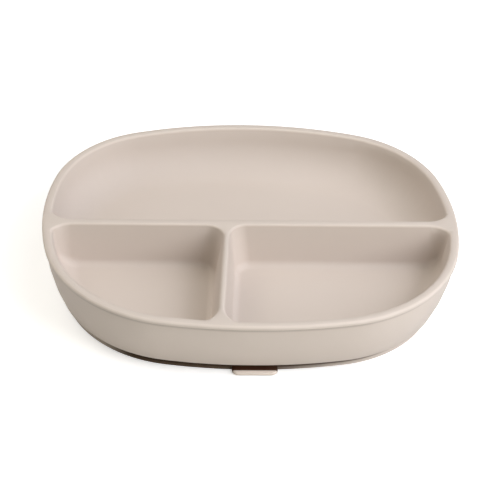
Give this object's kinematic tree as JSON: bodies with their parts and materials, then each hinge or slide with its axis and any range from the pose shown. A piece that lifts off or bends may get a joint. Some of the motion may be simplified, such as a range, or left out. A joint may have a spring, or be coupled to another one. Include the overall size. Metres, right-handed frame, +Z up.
{
  "type": "divided suction plate",
  "caption": "Oval one-piece silicone plate with a wide back compartment, two front ones, a lipped rim and a suction skirt with a pull tab underneath.",
  "frame": {"origin": "centre of the plate's outline on the table, at the level of the ring it rests on", "axes": "+Z up, +X to the right of someone facing the pull tab, +Y from the pull tab towards the wide back compartment"},
  "size_m": [0.215, 0.177, 0.036],
  "materials": {
    "silicone": "matte moulded silicone"
  },
  "bodies": {
    "root": {"plate": "silicone"}
  },
  "joints": []
}
